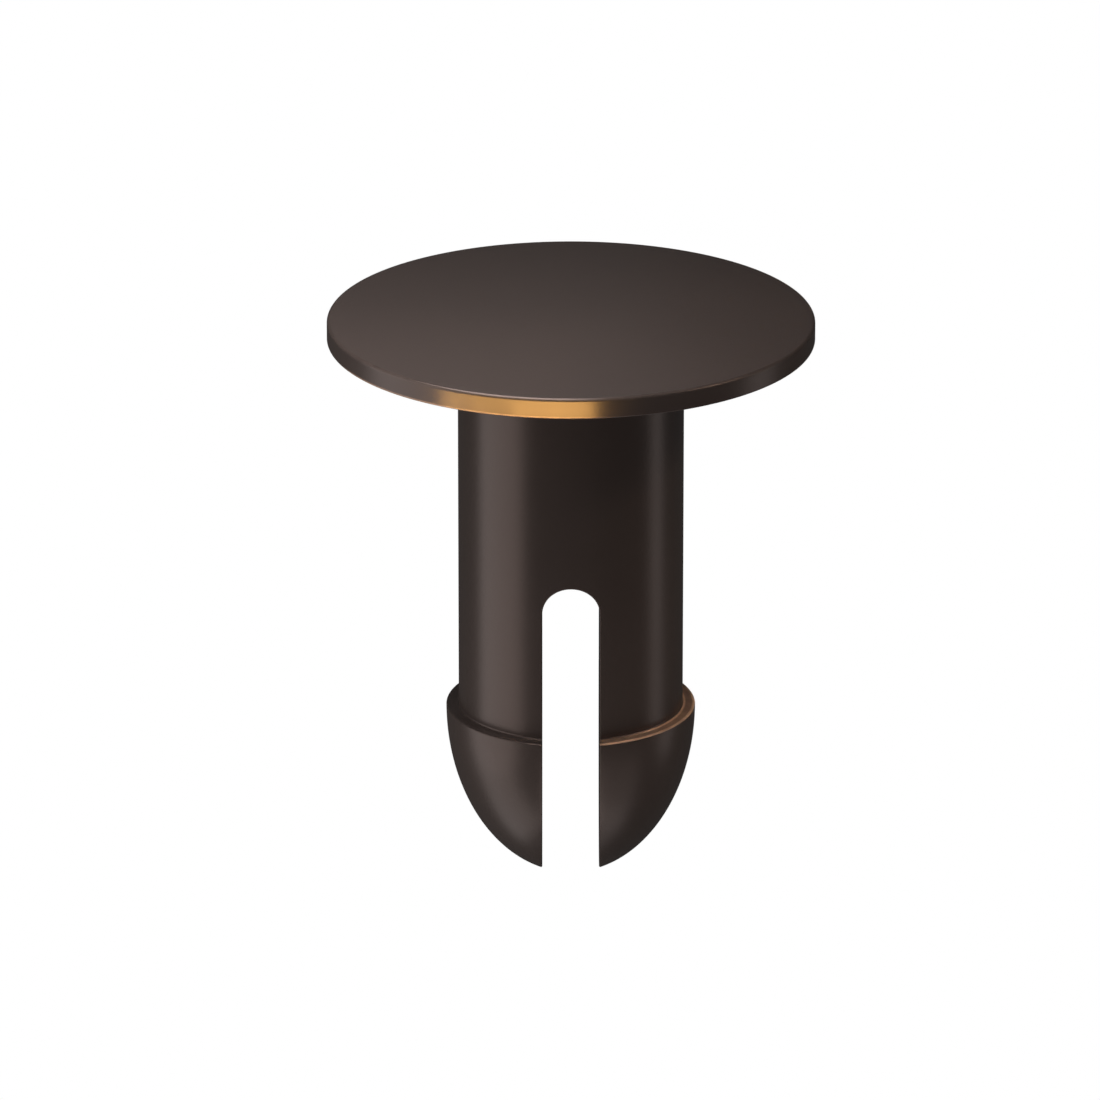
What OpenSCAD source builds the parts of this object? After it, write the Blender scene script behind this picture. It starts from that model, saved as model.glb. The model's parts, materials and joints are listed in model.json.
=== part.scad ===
// Push-in rivet, moulded in one piece: a thin round head, a plain shank and a
// bullet-shaped nose with a barb, split by a slot so that the two legs can close
// as they pass through the hole in the panels.
// It stands on its head: z = 0 is the outer face of the head, the nose points up
// +Z, and the slot runs through along Y.

/* [Head] */
// Diameter of the round head
head_d = 14; // [10:0.1:20]
// Thickness of the head
head_t = 0.6; // [0.4:0.05:2]
// Rounding of the rim round the outer face
face_edge_r = 0.1; // [0.02:0.01:0.2]
// Rounding of the rim on the panel side
seat_edge_r = 0.04; // [0.02:0.01:0.15]

/* [Shank] */
// Diameter of the shank
shank_d = 6.5; // [4:0.1:8]
// Length of the shank from the head to the barb
grip_l = 11.15; // [8:0.05:20]
// Fillet where the shank meets the head
root_r = 0.15; // [0.05:0.01:0.5]

/* [Barb] */
// Width of the flat ledge that catches behind the panels
ledge_w = 0.36; // [0.25:0.01:0.8]
// Fillet in the corner between the shank and the ledge
ledge_root_r = 0.06; // [0.02:0.01:0.1]
// Rounding of the ledge's outer rim
ledge_edge_r = 0.06; // [0.02:0.01:0.1]
// Length of the nose past the ledge, up to the point that the slot cuts away
nose_l = 5.15; // [2:0.05:8]

/* [Slot] */
// Width of the slot between the legs
slot_w = 1.65; // [0.8:0.05:2.4]
// Solid length of shank between the head and the round end of the slot
solid_l = 6.5; // [1:0.1:7]

/* [Hidden] */
head_r = head_d / 2;
shank_r = shank_d / 2;
barb_r = shank_r + ledge_w;
ledge_z = head_t + grip_l;
tip_z = ledge_z + nose_l;
slot_end_z = head_t + solid_l;

// Straight steps that make up each small rounding, and the whole curve of the nose
round_steps = 6;
nose_steps = 36;
// How far the slot's cutter stands out of the solid
overcut = 1;
$fn = 96;

// Points of an arc of radius r about [x, z], from angle a to angle b
function arc(x, z, r, a, b) =
    [for (i = [0 : round_steps])
        let (turn = a + (b - a) * i / round_steps)
        [x + r * cos(turn), z + r * sin(turn)]];

// Points of the nose: a quarter of an ellipse that leaves the rim of the ledge upright
function nose_curve(base_z) =
    [for (i = [1 : nose_steps])
        let (turn = 90 * i / nose_steps)
        [barb_r * cos(turn), base_z + (tip_z - base_z) * sin(turn)]];

// Half section of the rivet, from the middle of the outer face round to the tip
function half_section() = concat(
    [[0, 0]],
    arc(head_r - face_edge_r, face_edge_r, face_edge_r, -90, 0),
    arc(head_r - seat_edge_r, head_t - seat_edge_r, seat_edge_r, 0, 90),
    arc(shank_r + root_r, head_t + root_r, root_r, 270, 180),
    arc(shank_r + ledge_root_r, ledge_z - ledge_root_r, ledge_root_r, 180, 90),
    arc(barb_r - ledge_edge_r, ledge_z + ledge_edge_r, ledge_edge_r, -90, 0),
    nose_curve(ledge_z + ledge_edge_r)
);

module turned_body() {
    rotate_extrude() polygon(half_section());
}

// Cutter for the slot: a round end towards the head, then straight out past the tip
module slot_cutter() {
    depth = 2 * (barb_r + overcut);
    arch_z = slot_end_z + slot_w / 2;
    rotate([90, 0, 0])
        translate([0, arch_z, -depth / 2])
            linear_extrude(depth) {
                circle(d = slot_w);
                translate([-slot_w / 2, 0])
                    square([slot_w, tip_z + overcut - arch_z]);
            }
}

module rivet() {
    color([0.24, 0.2, 0.19])
        difference() {
            turned_body();
            slot_cutter();
        }
}

rivet();
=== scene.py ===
import json
import math

import bpy
from mathutils import Matrix, Vector


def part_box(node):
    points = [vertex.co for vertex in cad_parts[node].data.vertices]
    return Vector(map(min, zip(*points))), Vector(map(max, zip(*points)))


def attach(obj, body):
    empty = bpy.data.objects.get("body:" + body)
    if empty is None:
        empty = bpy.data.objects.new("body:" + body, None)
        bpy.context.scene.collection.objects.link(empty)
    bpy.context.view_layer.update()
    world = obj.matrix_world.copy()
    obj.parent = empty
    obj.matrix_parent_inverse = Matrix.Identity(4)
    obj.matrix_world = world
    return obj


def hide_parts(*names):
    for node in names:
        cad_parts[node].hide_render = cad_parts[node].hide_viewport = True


bl_info = {
    "name": "Push-in rivet",
    "version": (1, 0, 0),
    "blender": (4, 5, 0),
    "location": "3D View > Sidebar > Rivet",
    "description": "Moulds a split push-in rivet in dark brown nylon on a pale studio floor",
    "category": "Object",
}

MM = 0.001
BODY = "root"
NODE = "rivet"
SKIN = "moulded_rivet"

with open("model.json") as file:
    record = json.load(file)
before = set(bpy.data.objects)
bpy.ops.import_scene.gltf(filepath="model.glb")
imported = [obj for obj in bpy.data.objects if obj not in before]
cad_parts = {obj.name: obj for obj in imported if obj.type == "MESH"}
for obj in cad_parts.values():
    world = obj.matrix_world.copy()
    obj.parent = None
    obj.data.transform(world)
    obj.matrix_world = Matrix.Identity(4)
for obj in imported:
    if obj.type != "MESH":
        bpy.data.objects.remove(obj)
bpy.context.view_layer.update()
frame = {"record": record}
cad_low, cad_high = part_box(NODE)
mounts = {mount["name"]: mount for mount in frame["record"]["mounts"]}

# How finely the skin is divided: points from the middle of a leg to its slot edge, over the
# nose from one side to the other, in each small rounding, in the slot's round end, and the
# longest step along the shank
LEG_STEPS = 40
NOSE_STEPS = 96
ROUND_STEPS = 6
EDGE_STEPS = 4
ARCH_STEPS = 16
SHANK_STEP = 0.4 * MM
# Points closer together than this are one point
WELD = 0.0002 * MM
# A quarter of a turn
QUARTER = math.radians(90)

# The nylon: sizes of its clouds of colour, of its fine grain and of the patches in the painted
# highlights on its rims, the depth of the grain, and its index of refraction
CLOUD_SIZE = 5 * MM
GRAIN_SIZE = 0.07 * MM
GLINT_PATCH_SIZE = 0.3 * MM
GRAIN_DEPTH = 0.02 * MM
NYLON_IOR = 1.53
# Where round the rivet, as the picture has it, the painted highlights lie on the head's rim, the
# ledge, its corner and its lighter part. For each sector: its middle, half its width and how
# softly it ends, in degrees
HEM_SECTOR = (-30, 34, 8)
LEDGE_SECTOR = (62, 50, 8)
CORNER_SECTOR = (85, 45, 10)
LIGHTER_SECTOR = (85, 35, 15)
# How far from the middle of a painted highlight line its colour starts to fade, and where it is
# gone
LINE_FADE = (0.02 * MM, 0.04 * MM)

# The floor: its radius and corners, how far it lies under the rivet, and how far from the
# middle it starts to fade and is gone
FLOOR_REACH = 400 * MM
FLOOR_CORNERS = 128
FLOOR_DROP = 0.01 * MM
FLOOR_FADE = (40 * MM, 300 * MM)

# How far most of the soft boxes are from the middle of the rivet
BOX_DISTANCE = 80 * MM
# The golden boxes, each before its own part of the head's rim: the share of the glow that each
# has, the turn of the first part and from one to the next, how far from the rim the boxes are
# and how they rise from it, their width and height in mm, and the spread of their light. The
# angles are in degrees.
RIM_SHARES = (1.0, 1.0, 0.66, 0.52)
RIM_FIRST_TURN = 0.5
RIM_TURN_STEP = 9
RIM_DISTANCE = 3 * MM
RIM_RISE = -26
RIM_BOX = (2, 1.2)
RIM_SPREAD = 50
# The bent flag beside the head: its flat parts, how far it stands off the rim, its height, the
# turn of its right end and how far round it reaches from there, in degrees
FLAG_STEPS = 18
FLAG_GAP = 0.02 * MM
FLAG_HEIGHT = 2.5 * MM
FLAG_FIRST_TURN = 32
FLAG_BEND = 90

# Where the photograph, taken as a square of PHOTO pixels, has the rivet: the middle and the
# width of the head's outer face, and how far the camera looks down
PHOTO = 1100
FACE_X = 571.0
FACE_Y = 318.0
FACE_WIDTH = 488.7
LOOK_DOWN = math.radians(20.2)


def length(name, description, default):
    """A property that holds a length."""
    return bpy.props.FloatProperty(
        name=name, description=description, default=default, min=0.0, unit="LENGTH", precision=5
    )


def colour(name, description, default):
    """A property that holds a scene-linear colour."""
    return bpy.props.FloatVectorProperty(
        name=name,
        description=description,
        default=default,
        size=3,
        min=0.0,
        max=1.0,
        subtype="COLOR",
    )


def level(name, description, default, top=1.0):
    """A property that holds a plain number from nothing to top."""
    return bpy.props.FloatProperty(
        name=name, description=description, default=default, min=0.0, max=top
    )


def lamp_glow(name, description, default):
    """A property that holds how much the face of a lamp glows."""
    return level(name, description, default, top=20.0)


class RivetSizes(bpy.types.PropertyGroup):
    """Sizes of the rivet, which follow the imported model."""

    head_d: length("Head diameter", "Diameter of the round head", cad_high.x - cad_low.x)
    head_t: length("Head thickness", "Thickness of the head", mounts["panel_seat"]["pos_m"][2])
    face_edge_r: length("Face edge", "Rounding of the rim round the outer face", 0.1 * MM)
    seat_edge_r: length("Seat edge", "Rounding of the rim on the side of the shank", 0.04 * MM)
    shank_r: length(
        "Shank radius", "Radius of the shank", mounts["panel_hole"]["dims"]["r_mm"] * MM
    )
    root_r: length("Root fillet", "Fillet where the shank meets the head", 0.15 * MM)
    ledge_z: length("Ledge", "Height of the barb's flat ledge", mounts["barb_ledge"]["pos_m"][2])
    ledge_w: length("Ledge width", "How far the ledge stands out of the shank", 0.36 * MM)
    ledge_root_r: length("Ledge fillet", "Fillet between the shank and the ledge", 0.06 * MM)
    ledge_edge_r: length("Ledge edge", "Rounding of the ledge's outer rim", 0.06 * MM)
    nose_l: length(
        "Nose length", "Length of the nose up to the point that the slot cuts away", 5.15 * MM
    )
    slot_w: length("Slot width", "Width of the slot between the legs", 1.65 * MM)
    slot_end_z: length("Slot end", "Height of the slot's round end", 7.1 * MM)
    slot_edge_r: length("Slot edge", "Rounding of the slot's long edges", 0.035 * MM)


class RivetFinish(bpy.types.PropertyGroup):
    """Colours and surface of the moulded nylon."""

    nylon: colour("Nylon", "Dark brown of the moulding", (0.046, 0.034, 0.030))
    # Copper of the highlights painted along the head's rim and the barb's ledge, and below it how
    # much of that colour shows
    painted_glint: colour("Rubbed edge", "Copper brown where thin edges are rubbed", (0.78, 0.46, 0.29))
    gloss: colour("Gloss", "Warm tint of what the skin mirrors", (1.0, 0.74, 0.66))
    painted_glint_amount: level("Rub", "How much of the rubbed colour shows on the rims", 0.8)
    roughness: level("Roughness", "Roughness of the moulded skin", 0.3)
    grain: level("Grain depth", "Strength of the fine grain left by the mould", 0.12)


class RivetStage(bpy.types.PropertyGroup):
    """Floor, light and camera."""

    floor: colour("Floor", "Colour of the plain floor", (0.86, 0.86, 0.86))
    floor_glow: level("Floor glow", "Light that the floor adds where the camera sees it", 0.35)
    ambient: level("Ambient", "Level of the even light from all round", 0.15)
    gloss: level("Ambient gloss", "Level of what the gloss mirrors away from the lamps", 0.04)
    side: lamp_glow("Side box", "Glow of the tall soft box on the left of the picture", 1.4)
    nose: lamp_glow("Nose box", "Glow of the soft box that looks at the left of the nose", 1.0)
    front: lamp_glow("Front box", "Glow of the soft box before the nose in the picture", 0.9)
    brow: lamp_glow("Brow box", "Glow of the box that the head's face edge mirrors", 2.0)
    strip: lamp_glow("Strip", "Glow of the narrow box on the right of the picture", 0.7)
    low: lamp_glow("Low box", "Glow of the soft box that looks at the right of the nose", 0.4)
    card: lamp_glow("Card", "Glow of the card behind that the head's outer face mirrors", 0.12)
    face: lamp_glow("Face box", "Glow of the soft box over the head's outer face", 8.0)
    rim: lamp_glow("Rim boxes", "Glow of the brightest box that the head's rim mirrors", 1.8)
    spot: lamp_glow("Warm spot", "Glow of the small lamp that looks at the barb's ledge", 0.55)
    gold: colour("Golden light", "Colour of the rim boxes", (1.0, 0.67, 0.2))
    warm: colour("Warm light", "Colour of the warm spot", (1.0, 0.8, 0.6))
    top: lamp_glow("Top box", "Glow of the soft box over the nose", 0.35)
    over_floor: lamp_glow("Floor box", "Glow of the soft box that lights the floor", 4.5)
    distance: length(
        "Camera distance", "How far the camera is from the head, along its view", 300 * MM
    )


class Wire:
    """One output of a node tree. Plain arithmetic on it adds Math nodes."""

    def __init__(self, tree, socket):
        self.tree = tree
        self.socket = socket

    def math(self, operation, *values):
        inputs = dict(enumerate(values))
        return add_node(self.tree, "ShaderNodeMath", {"operation": operation}, inputs)

    def __add__(self, other):
        return self.math("ADD", self, other)

    def __radd__(self, other):
        return self.math("ADD", other, self)

    def __sub__(self, other):
        return self.math("SUBTRACT", self, other)

    def __rsub__(self, other):
        return self.math("SUBTRACT", other, self)

    def __mul__(self, other):
        return self.math("MULTIPLY", self, other)

    def __rmul__(self, other):
        return self.math("MULTIPLY", other, self)

    def __truediv__(self, other):
        return self.math("DIVIDE", self, other)

    def __pow__(self, other):
        return self.math("POWER", self, other)

    def __abs__(self):
        return self.math("ABSOLUTE", self)


def add_node(tree, kind, settings, inputs, output=0):
    """Adds a node with its settings, fills its sockets by name or place, returns one output."""
    node = tree.nodes.new(kind)
    for name, value in settings.items():
        setattr(node, name, value)
    for name, value in inputs.items():
        if isinstance(value, Wire):
            tree.links.new(value.socket, node.inputs[name])
        else:
            node.inputs[name].default_value = value
    return Wire(tree, node.outputs[output])


def ramp_up(value, low, high):
    """0 below low and 1 above high, with a smooth step between them."""
    return add_node(
        value.tree,
        "ShaderNodeMapRange",
        {"interpolation_type": "SMOOTHSTEP"},
        {"Value": value, "From Min": low, "From Max": high},
    )


def mixed(factor, first, second):
    """The first colour where the factor is 0, the second where it is 1."""
    return add_node(
        factor.tree,
        "ShaderNodeMix",
        {"data_type": "RGBA"},
        {"Factor": factor, 6: first, 7: second},
        output=2,
    )


def rgba(values):
    return (*values, 1.0)


def new_material(name):
    """An empty node material, its tree and its output node."""
    material = bpy.data.materials.new(name)
    material.use_nodes = True
    tree = material.node_tree
    tree.nodes.clear()
    return material, tree, tree.nodes.new("ShaderNodeOutputMaterial")


class Skin:
    """Points with their true normals and the faces between them, welded as they are added."""

    def __init__(self):
        self.points = []
        self.normals = []
        self.faces = []
        self.known = {}

    def point(self, place, normal):
        key = tuple(round(value / WELD) for value in place)
        if key not in self.known:
            self.known[key] = len(self.points)
            self.points.append(Vector(place))
            self.normals.append(Vector(normal).normalized())
        return self.known[key]

    def strip(self, first, second):
        """Faces between two rows of points, with triangles where a row runs into one point."""
        for k in range(len(first) - 1):
            corners = list(dict.fromkeys((first[k], first[k + 1], second[k + 1], second[k])))
            if len(corners) > 2:
                self.faces.append(self.outward(corners))

    def outward(self, corners):
        """The corners in the order that makes their face look the way that their normals point."""
        places = [self.points[corner] for corner in corners]
        way = (places[1] - places[0]).cross(places[-1] - places[0])
        if len(places) == 4:
            way += (places[3] - places[2]).cross(places[1] - places[2])
        wanted = sum((self.normals[corner] for corner in corners), Vector())
        return corners if way.dot(wanted) > 0 else corners[::-1]

    def add_other_half(self):
        """Adds the mirror image across X, welded to what is there."""
        halves = list(zip(self.points, self.normals))
        twins = [self.point((-place.x, *place.yz), (-way.x, *way.yz)) for place, way in halves]
        self.faces += [[twins[corner] for corner in reversed(face)] for face in self.faces]

    def mesh(self, name):
        made = bpy.data.meshes.new(name)
        made.from_pydata(self.points, [], self.faces)
        made.polygons.foreach_set("use_smooth", [True] * len(self.faces))
        made.normals_split_custom_set_from_vertices(self.normals)
        made.update()
        return made


class Level:
    """One height of the rivet: the outer skin's radius and normal, and where the slot's wall is."""

    def __init__(self, r, z, tilt, gap=0.0, turn=0.0):
        self.r = r
        self.z = z
        # The skin's normal, as the angle up from level
        self.tilt = tilt
        # Half the slot's width here, and how far round its end the wall has turned: 0 at the
        # deepest point, where the wall looks up, and a right angle on the straight sides
        self.gap = gap
        self.turn = turn

    def skin(self, round_angle):
        """Place and normal of the outer skin at an angle from the middle of the leg."""
        x, y = math.cos(round_angle), math.sin(round_angle)
        out = math.cos(self.tilt)
        return (self.r * x, self.r * y, self.z), (out * x, out * y, math.sin(self.tilt))

    def edge_angle(self):
        return math.acos(min(1.0, self.gap / self.r))

    def wall_normal(self):
        return Vector((-math.sin(self.turn), 0.0, math.cos(self.turn)))


def arc(centre_r, centre_z, radius, start, stop, hollow=False):
    """Levels round a small rounding, or a hollow one, whose normals look in at its centre."""
    made = []
    for i in range(ROUND_STEPS + 1):
        angle = math.radians(start + (stop - start) * i / ROUND_STEPS)
        tilt = angle + math.pi if hollow else angle
        r = centre_r + radius * math.cos(angle)
        z = centre_z + radius * math.sin(angle)
        made.append(Level(r, z, tilt))
    return made


def head_levels(sizes):
    """From the middle of the outer face round the rim to the foot of the shank."""
    head_r = sizes.head_d / 2
    face_r, seat_r, root_r = sizes.face_edge_r, sizes.seat_edge_r, sizes.root_r
    return [
        Level(0.0, 0.0, -QUARTER),
        Level(head_r / 2, 0.0, -QUARTER),
        *arc(head_r - face_r, face_r, face_r, -90, 0),
        *arc(head_r - seat_r, sizes.head_t - seat_r, seat_r, 0, 90),
        *arc(sizes.shank_r + root_r, sizes.head_t + root_r, root_r, 270, 180, hollow=True),
    ]


def straight_levels(r, low, high):
    """Even levels of a plain cylinder, up to the last one before high."""
    steps = max(1, math.ceil((high - low) / SHANK_STEP))
    return [Level(r, low + (high - low) * i / steps, 0.0) for i in range(1, steps)]


def slotted(levels, gap):
    """The same levels, on the straight part of the slot."""
    for each in levels:
        each.gap = gap
        each.turn = QUARTER
    return levels


def leg_levels(sizes):
    """From the deepest point of the slot up to the widest part of the barb."""
    gap = sizes.slot_w / 2
    arch_z = sizes.slot_end_z + gap
    arch = []
    for i in range(ARCH_STEPS + 1):
        turn = math.radians(90 * i / ARCH_STEPS)
        arch.append(
            Level(sizes.shank_r, arch_z - gap * math.cos(turn), 0.0, gap * math.sin(turn), turn)
        )
    fillet, rim = sizes.ledge_root_r, sizes.ledge_edge_r
    barb_r = sizes.shank_r + sizes.ledge_w
    above = [
        *straight_levels(sizes.shank_r, arch_z, sizes.ledge_z - fillet),
        *arc(sizes.shank_r + fillet, sizes.ledge_z - fillet, fillet, 180, 90, hollow=True),
        *arc(barb_r - rim, sizes.ledge_z + rim, rim, -90, 0),
    ]
    return arch + slotted(above, gap)


def rounded_edge(skin, place, out, into_slot, radius):
    """Points across the rounding between the outer skin and the slot's wall, from skin to wall."""
    place, out, into_slot = Vector(place), Vector(out), Vector(into_slot)
    open_angle = out.angle(into_slot)
    centre = place - (out + into_slot) * (radius / (1 + math.cos(open_angle)))
    made = []
    for i in range(EDGE_STEPS + 1):
        way = out.slerp(into_slot, i / EDGE_STEPS)
        made.append(skin.point(centre + way * radius, way))
    return made


def lay_row(skin, each, radius):
    """One level of a leg: its outer points from the -Y edge to the +Y one, and both roundings."""
    edge = each.edge_angle()
    wall = each.wall_normal()
    ends = [rounded_edge(skin, *each.skin(side * edge), wall, radius) for side in (-1, 1)]
    # Round the slot's end, the row lies at the height where its rounded edges begin
    row = Level(each.r, skin.points[ends[0][0]].z, 0.0) if each.turn < QUARTER else each
    inner = [
        skin.point(*row.skin(edge * k / LEG_STEPS)) for k in range(1 - LEG_STEPS, LEG_STEPS)
    ]
    return [ends[0][0], *inner, ends[1][0]], ends


def close_leg(skin, lower, upper):
    """Faces between two levels of a leg: the outer skin and both rounded edges."""
    (low_row, low_ends), (high_row, high_ends) = lower, upper
    skin.strip(low_row, high_row)
    for low_end, high_end in zip(low_ends, high_ends):
        skin.strip(low_end, high_end)


def close_wall(skin, pairs):
    """The slot's wall, between the points where its -Y and +Y edges end, from the bottom up."""
    below = []
    for left, right in pairs:
        if below and abs(skin.points[left].z - skin.points[below[0]].z) < WELD:
            # The ledge steps out level, so the next face has a corner more on each side
            below = [left, *below, right]
            continue
        if below:
            skin.faces.append(skin.outward(list(dict.fromkeys((*below, right, left)))))
        below = [left, right]


def lay_nose(skin, sizes, base):
    """The nose of one leg, in rings that shrink from the slot's wall to the middle of its side.
    Returns the points where its two halves of the slot's edge end, pair by pair up to the top."""
    barb_r = base.r
    rise = sizes.ledge_z + sizes.nose_l - base.z
    edge = base.edge_angle()
    wall = base.wall_normal()
    rings = []
    for k in range(LEG_STEPS + 1):
        x = barb_r * math.cos(edge * k / LEG_STEPS)
        share = math.sqrt(max(0.0, 1 - (x / barb_r) ** 2))
        ring = []
        for j in range(NOSE_STEPS + 1):
            over = math.pi * j / NOSE_STEPS
            y = -barb_r * share * math.cos(over)
            up = rise * share * math.sin(over)
            place = Vector((x, y, base.z + up))
            out = Vector((x / barb_r**2, y / barb_r**2, up / rise**2)).normalized()
            if k == LEG_STEPS:
                ring.append(rounded_edge(skin, place, out, wall, sizes.slot_edge_r))
            else:
                ring.append([skin.point(place, out)])
        rings.append(ring)
    for inner, outer in zip(rings, rings[1:]):
        skin.strip([each[0] for each in inner], [each[0] for each in outer])
    edges = rings[-1]
    for this, following in zip(edges, edges[1:]):
        skin.strip(this, following)
    return [(edges[j][-1], edges[NOSE_STEPS - j][-1]) for j in range(1, NOSE_STEPS // 2 + 1)]


def rivet_skin(sizes):
    """The whole rivet: the half at +X, then its mirror image."""
    skin = Skin()
    foot_z = sizes.head_t + sizes.root_r
    whole_z = sizes.slot_end_z - 2 * sizes.slot_edge_r
    whole = [
        *head_levels(sizes),
        *straight_levels(sizes.shank_r, foot_z, whole_z),
        Level(sizes.shank_r, whole_z, 0.0),
    ]
    rings = [
        [skin.point(*each.skin(QUARTER * k / LEG_STEPS)) for k in range(-LEG_STEPS, LEG_STEPS + 1)]
        for each in whole
    ]
    for lower, upper in zip(rings, rings[1:]):
        skin.strip(lower, upper)
    legs = leg_levels(sizes)
    rows = [lay_row(skin, each, sizes.slot_edge_r) for each in legs]
    skin.strip(rings[-1], rows[0][0])
    for lower, upper in zip(rows, rows[1:]):
        close_leg(skin, lower, upper)
    pairs = [(ends[0][-1], ends[1][-1]) for _, ends in rows]
    close_wall(skin, pairs + lay_nose(skin, sizes, legs[-1]))
    skin.add_other_half()
    return skin


def nylon_material(finish, sizes):
    """Dark brown nylon with a fine moulded grain, and copper highlights painted on parts of its
    rims.
    """
    material, tree, output = new_material("dark_brown_nylon")
    place = add_node(tree, "ShaderNodeTexCoord", {}, {}, output="Object")
    split = add_node(tree, "ShaderNodeSeparateXYZ", {}, {"Vector": place})
    x = split
    y = Wire(tree, split.socket.node.outputs["Y"])
    z = Wire(tree, split.socket.node.outputs["Z"])
    radius = (x * x + y * y) ** 0.5

    def noise(size, detail, roughness=0.5):
        return add_node(
            tree,
            "ShaderNodeTexNoise",
            {},
            {"Vector": place, "Scale": 1 / size, "Detail": detail, "Roughness": roughness},
        )

    cloud = noise(CLOUD_SIZE, 2.0)
    grain = noise(GRAIN_SIZE, 3.0, 0.6)
    glint_patches = noise(GLINT_PATCH_SIZE, 2.0)

    def side(turn, half, soft):
        """1 within half a sector of this turn in the picture, and 0 further round."""
        way = around(1.0, turn, 0)
        lean = (x * way.x + y * way.y) / radius
        low, high = math.cos(math.radians(half + soft)), math.cos(math.radians(half - soft))
        return ramp_up(lean, low, high)

    def line(away):
        """1 in the middle of a line, by the distance from it, and 0 outside."""
        return 1 - ramp_up(abs(away), *LINE_FADE)

    # A painted glint: a thin copper line along the shank side of the head's rim, on one side only
    head_r, barb_r = sizes.head_d / 2, sizes.shank_r + sizes.ledge_w
    hem = ramp_up(radius, head_r - 0.05 * MM, head_r - 0.02 * MM)
    hem = hem * ramp_up(z, sizes.head_t - 0.08 * MM, sizes.head_t - 0.03 * MM)
    hem = hem * side(*HEM_SECTOR)
    # Painted highlights on the barb's ledge, on one side only: a line along its outer rim, joined
    # away from the slot by one along its corner, and a duller painted sheen between them
    corner = line(radius - sizes.shank_r - 0.05 * MM) * side(*CORNER_SECTOR)
    outer = ramp_up(radius, barb_r - 0.1 * MM, barb_r - 0.06 * MM)
    ledge = 0.24 + 0.14 * side(*LIGHTER_SECTOR) + 0.9 * corner + 0.9 * outer
    ledge = ledge.math("MINIMUM", ledge, 1.0)
    ledge = ledge * ramp_up(radius, sizes.shank_r + 0.01 * MM, sizes.shank_r + 0.03 * MM)
    ledge = ledge * line(z - sizes.ledge_z) * side(*LEDGE_SECTOR)
    # All the painted highlights together, made patchy by noise
    painted_glints = (0.5 * hem + ledge) * (0.75 + 0.25 * ramp_up(glint_patches, 0.3, 0.7))

    base = mixed(painted_glints * finish.painted_glint_amount, rgba(finish.nylon), rgba(finish.painted_glint))
    # The clouds change the brightness by up to a tenth and the roughness by up to 0.04
    shade = add_node(
        tree,
        "ShaderNodeHueSaturation",
        {},
        {"Value": 0.9 + cloud * 0.2, "Color": base},
    )
    bump = add_node(
        tree,
        "ShaderNodeBump",
        {},
        {"Strength": finish.grain, "Distance": GRAIN_DEPTH, "Height": grain},
    )
    shader = add_node(
        tree,
        "ShaderNodeBsdfPrincipled",
        {},
        {
            "Base Color": shade,
            "Roughness": finish.roughness - 0.04 + cloud * 0.08,
            "IOR": NYLON_IOR,
            "Specular Tint": rgba(finish.gloss),
            "Normal": bump,
        },
    )
    tree.links.new(shader.socket, output.inputs["Surface"])
    return material


class RIVET_OT_mould(bpy.types.Operator):
    """Mould the rivet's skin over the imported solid, in dark brown nylon"""

    bl_idname = "push_rivet.mould"
    bl_label = "Mould the rivet"

    def execute(self, context):
        sizes = context.scene.rivet_sizes
        piece = bpy.data.objects.new(SKIN, rivet_skin(sizes).mesh(SKIN))
        context.scene.collection.objects.link(piece)
        piece.data.materials.append(nylon_material(context.scene.rivet_finish, sizes))
        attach(piece, BODY)
        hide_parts(NODE)
        return {"FINISHED"}


def in_picture(right, up, near):
    """A direction or place given by the picture, whose up is the head's end of the rivet."""
    return Vector((-right, -near, -up))


def around(distance, turn, rise):
    """A place so far from the origin, by its turn to the picture's right and its rise there, both
    in degrees."""
    turn, rise = math.radians(turn), math.radians(rise)
    return in_picture(
        distance * math.sin(turn) * math.cos(rise),
        distance * math.sin(rise),
        distance * math.cos(turn) * math.cos(rise),
    )


def add_floor(stage):
    """A pale floor under the head. It shows only from above, because the camera looks past it."""
    bpy.ops.mesh.primitive_circle_add(
        vertices=FLOOR_CORNERS,
        radius=FLOOR_REACH,
        fill_type="NGON",
        location=(0, 0, -FLOOR_DROP),
    )
    floor = bpy.context.object
    floor.name = "floor"
    material, tree, output = new_material("plain_floor")
    place = add_node(tree, "ShaderNodeTexCoord", {}, {}, output="Object")
    far = add_node(
        tree, "ShaderNodeVectorMath", {"operation": "LENGTH"}, {0: place}, output="Value"
    )
    behind = add_node(tree, "ShaderNodeNewGeometry", {}, {}, output="Backfacing")
    paint = add_node(tree, "ShaderNodeBsdfDiffuse", {}, {"Color": rgba(stage.floor)})
    clear = add_node(tree, "ShaderNodeBsdfTransparent", {}, {})
    hidden = behind.math("MAXIMUM", behind, ramp_up(far, *FLOOR_FADE))
    seen = add_node(tree, "ShaderNodeLightPath", {}, {}, output="Is Camera Ray")
    strength = seen * stage.floor_glow
    glow = add_node(
        tree, "ShaderNodeEmission", {}, {"Color": rgba(stage.floor), "Strength": strength}
    )
    lit = add_node(tree, "ShaderNodeAddShader", {}, {0: paint, 1: glow})
    surface = add_node(tree, "ShaderNodeMixShader", {}, {0: hidden, 1: lit, 2: clear})
    tree.links.new(surface.socket, output.inputs["Surface"])
    floor.data.materials.append(material)
    floor.visible_diffuse = False
    floor.visible_glossy = False
    floor.visible_transmission = False
    floor.visible_shadow = False
    return floor


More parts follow.
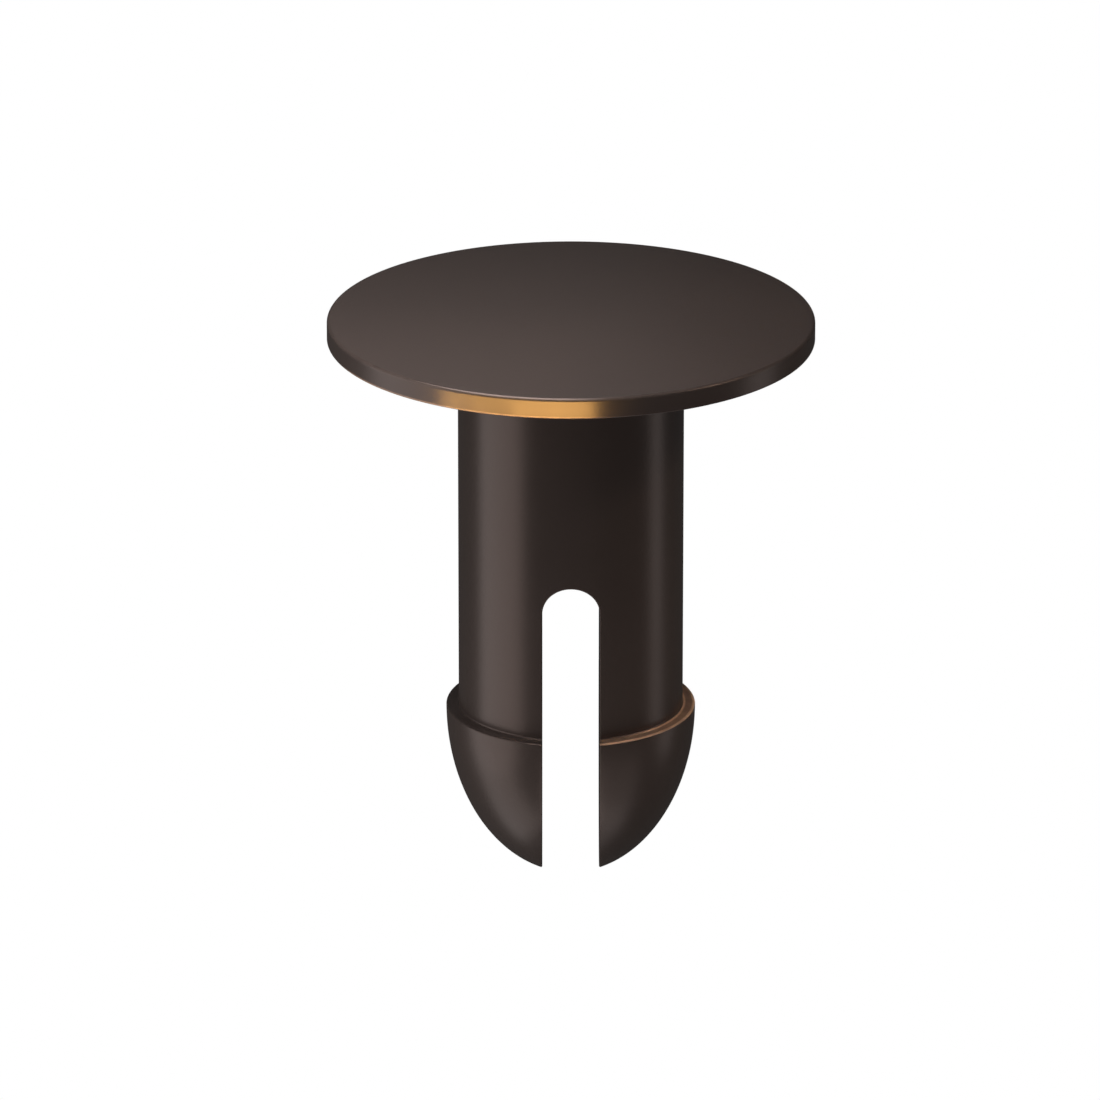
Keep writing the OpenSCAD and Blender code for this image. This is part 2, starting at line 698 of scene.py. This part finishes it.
def add_world(scene, stage):
    """White behind everything, and an even dimmer light on the rivet."""
    world = bpy.data.worlds.new("studio")
    world.use_nodes = True
    tree = world.node_tree
    tree.nodes.clear()
    output = tree.nodes.new("ShaderNodeOutputWorld")
    seen = add_node(tree, "ShaderNodeLightPath", {}, {}, output="Is Camera Ray")
    mirrored = add_node(tree, "ShaderNodeLightPath", {}, {}, output="Is Glossy Ray")
    dim = stage.ambient + mirrored * (stage.gloss - stage.ambient)
    strength = dim + seen * (1 - dim)
    light = add_node(
        tree, "ShaderNodeBackground", {}, {"Color": (1, 1, 1, 1), "Strength": strength}
    )
    tree.links.new(light.socket, output.inputs["Surface"])
    scene.world = world


def add_box(name, place, target, size, glow, shine=(1.0, 1.0, 1.0), spread=180):
    """A soft box that looks at its target, with its width and height in mm. Its face glows as a
    white surface does at that level, and a spread under 180 degrees gathers the same light into
    a narrower beam."""
    width, height = size
    data = bpy.data.lights.new(name, "AREA")
    data.color = shine
    data.shape = "RECTANGLE"
    data.size = width * MM
    data.size_y = height * MM
    data.energy = glow * math.pi * data.size * data.size_y
    data.spread = math.radians(spread)
    lamp = bpy.data.objects.new(name, data)
    lamp.location = place
    lamp.rotation_euler = (target - place).to_track_quat("-Z", "Y").to_euler()
    lamp.visible_camera = False
    bpy.context.scene.collection.objects.link(lamp)
    return lamp


def link_light(name, lamps, lit, shading):
    """Makes the lamps light one thing only, shaded by the given things and by nothing else."""
    for role, things in (("receiver", [lit]), ("blocker", shading)):
        group = bpy.data.collections.new(f"{name}_{role}")
        for thing in things:
            group.objects.link(thing)
        for lamp in lamps:
            setattr(lamp.light_linking, role + "_collection", group)


def add_flag(sizes):
    """A bent wall just outside the head's rim, from its shank side up. It is never seen: it only
    keeps the light of the rim boxes off the flat and the shank behind it."""
    flag_r = sizes.head_d / 2 + FLAG_GAP
    feet = [
        around(flag_r, FLAG_FIRST_TURN - FLAG_BEND * k / FLAG_STEPS, 0)
        for k in range(FLAG_STEPS + 1)
    ]
    ends = [Vector((0, 0, sizes.head_t)), Vector((0, 0, sizes.head_t + FLAG_HEIGHT))]
    made = bpy.data.meshes.new("flag")
    made.from_pydata(
        [foot + end for foot in feet for end in ends],
        [],
        [(2 * k, 2 * k + 1, 2 * k + 3, 2 * k + 2) for k in range(FLAG_STEPS)],
    )
    flag = bpy.data.objects.new("flag", made)
    bpy.context.scene.collection.objects.link(flag)
    flag.visible_camera = False
    flag.visible_diffuse = False
    flag.visible_glossy = False
    flag.visible_transmission = False
    return flag


def add_lamps(floor, sizes, stage):
    """Soft boxes round the rivet, and one that lights only the floor, so that it stays plain."""
    middle = Vector((0, 0, cad_high.z / 2))
    face = Vector((0, 0, 0))
    ledge = in_picture(3 * MM, -sizes.ledge_z, 1 * MM)
    over_face = in_picture(-6 * MM, 0, 8 * MM)
    above = Vector((-40 * MM, -40 * MM, 160 * MM))

    def from_middle(turn, rise, distance=BOX_DISTANCE):
        return middle + around(distance, turn, rise)

    near_ledge = from_middle(75, 40, 60 * MM)
    lamps = [
        add_box("side_box", from_middle(-77, 0), middle, (82, 110), stage.side),
        add_box("nose_box", from_middle(-80, -50), middle, (50, 50), stage.nose),
        add_box("front_box", from_middle(0, -50), middle, (60, 60), stage.front),
        add_box("low_box", from_middle(45, -50), middle, (60, 60), stage.low),
        add_box("brow_box", from_middle(0, 50), middle, (24, 24), stage.brow),
        add_box("strip", from_middle(96, 0), middle, (24, 90), stage.strip),
        add_box("card", in_picture(-5 * MM, 17.5 * MM, -40 * MM), face, (17, 9), stage.card),
        add_box("face_box", in_picture(-6 * MM, 14 * MM, 8 * MM), over_face, (14, 14), stage.face),
        add_box("warm_spot", near_ledge, ledge, (10, 10), stage.spot, stage.warm, 25),
        add_box("top_box", above, middle, (100, 100), stage.top),
    ]
    # A bent row of golden boxes close to the head's rim, dimmer to the left, each of them where
    # its own part of the rim mirrors it to the camera
    golden = []
    for number, share in enumerate(RIM_SHARES):
        name = f"rim_box_{number + 1}"
        turn = RIM_FIRST_TURN - RIM_TURN_STEP * number
        part = around(sizes.head_d / 2, turn, 0)
        place = part + around(RIM_DISTANCE, 2 * turn, RIM_RISE)
        glow = stage.rim * share
        golden.append(add_box(name, place, part, RIM_BOX, glow, stage.gold, RIM_SPREAD))
    over_floor = add_box("floor_box", above, face, (100, 100), stage.over_floor)
    rivet = bpy.data.objects[SKIN]
    link_light("soft_boxes", lamps, rivet, [rivet])
    link_light("rim_boxes", golden, rivet, [rivet, add_flag(sizes)])
    link_light("floor_box", [over_floor], floor, [rivet])


def add_camera(scene, sizes, stage):
    """A camera that sees the head's outer face where the photograph has it, with the head up."""
    pixel = sizes.head_d / FACE_WIDTH
    right = in_picture(1.0, 0.0, 0.0)
    back = in_picture(0.0, math.sin(LOOK_DOWN), math.cos(LOOK_DOWN))
    up = back.cross(right)
    data = bpy.data.cameras.new("camera")
    data.lens = stage.distance * data.sensor_width / (PHOTO * pixel)
    data.clip_start = stage.distance / 10
    data.clip_end = stage.distance * 10
    camera = bpy.data.objects.new("camera", data)
    aside = (PHOTO / 2 - FACE_X) * pixel
    below = (PHOTO / 2 - FACE_Y) * pixel
    camera.location = right * aside - up * below + back * stage.distance
    camera.rotation_euler = Matrix((right, up, back)).transposed().to_euler()
    scene.collection.objects.link(camera)
    scene.camera = camera


class RIVET_OT_stage(bpy.types.Operator):
    """Set the floor, the light and the camera"""

    bl_idname = "push_rivet.stage"
    bl_label = "Set the stage"

    def execute(self, context):
        scene = context.scene
        stage, sizes = scene.rivet_stage, scene.rivet_sizes
        floor = add_floor(stage)
        add_world(scene, stage)
        add_lamps(floor, sizes, stage)
        add_camera(scene, sizes, stage)
        scene.view_settings.view_transform = "Standard"
        return {"FINISHED"}


class RIVET_PT_sidebar(bpy.types.Panel):
    """The rivet's steps and the values that they use"""

    bl_label = "Push-in rivet"
    bl_space_type = "VIEW_3D"
    bl_region_type = "UI"
    bl_category = "Rivet"

    def draw(self, context):
        scene = context.scene
        for operator, values in STEPS:
            self.layout.operator(operator.bl_idname)
            for name in values:
                group = getattr(scene, name)
                for key in group.__annotations__:
                    self.layout.prop(group, key)


GROUPS = {"rivet_sizes": RivetSizes, "rivet_finish": RivetFinish, "rivet_stage": RivetStage}
STEPS = (
    (RIVET_OT_mould, ("rivet_sizes", "rivet_finish")),
    (RIVET_OT_stage, ("rivet_stage",)),
)
CLASSES = (*GROUPS.values(), *(step for step, _ in STEPS), RIVET_PT_sidebar)


def register():
    for each in CLASSES:
        bpy.utils.register_class(each)
    for name, group in GROUPS.items():
        setattr(bpy.types.Scene, name, bpy.props.PointerProperty(type=group))


def unregister():
    for name in GROUPS:
        delattr(bpy.types.Scene, name)
    for each in reversed(CLASSES):
        bpy.utils.unregister_class(each)


def main():
    """Registers the add-on and makes everything."""
    register()
    bpy.ops.push_rivet.mould()
    bpy.ops.push_rivet.stage()


if __name__ == "__main__":
    main()
